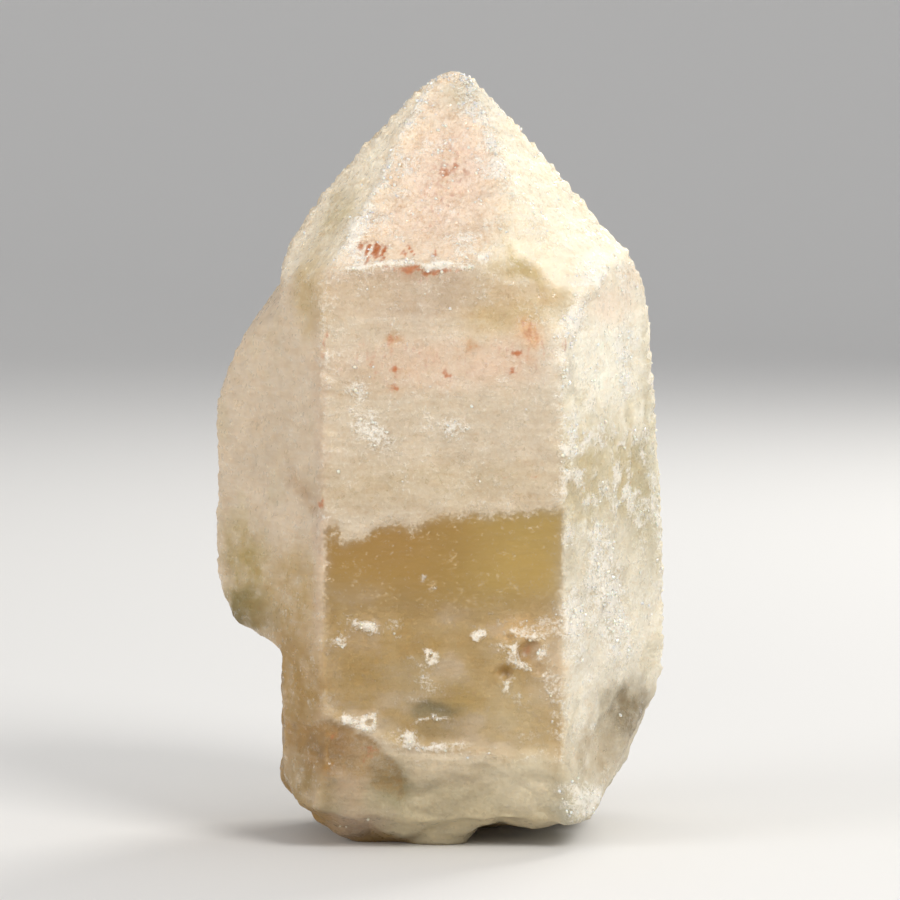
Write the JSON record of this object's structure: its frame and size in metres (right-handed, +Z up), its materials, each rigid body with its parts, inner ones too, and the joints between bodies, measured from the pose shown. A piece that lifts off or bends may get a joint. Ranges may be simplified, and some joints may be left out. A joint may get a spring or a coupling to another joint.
{
  "type": "lemurian quartz crystal",
  "caption": "Stocky frosted quartz point with a six-sided tip, a grown-on left shoulder and a rough broken base that it stands on.",
  "frame": {"origin": "bottom centre of the crystal's box, on the surface that it stands on", "axes": "+Z up along the crystal's long axis, +X to the right in the picture, -Y towards the picture's camera"},
  "size_m": [0.0448, 0.0332, 0.0764],
  "materials": {
    "quartz": "sugary frosted skin, cream with golden translucent windows and faint pink and rust stains"
  },
  "bodies": {
    "root": {"quartz_crystal": "quartz"}
  },
  "joints": []
}
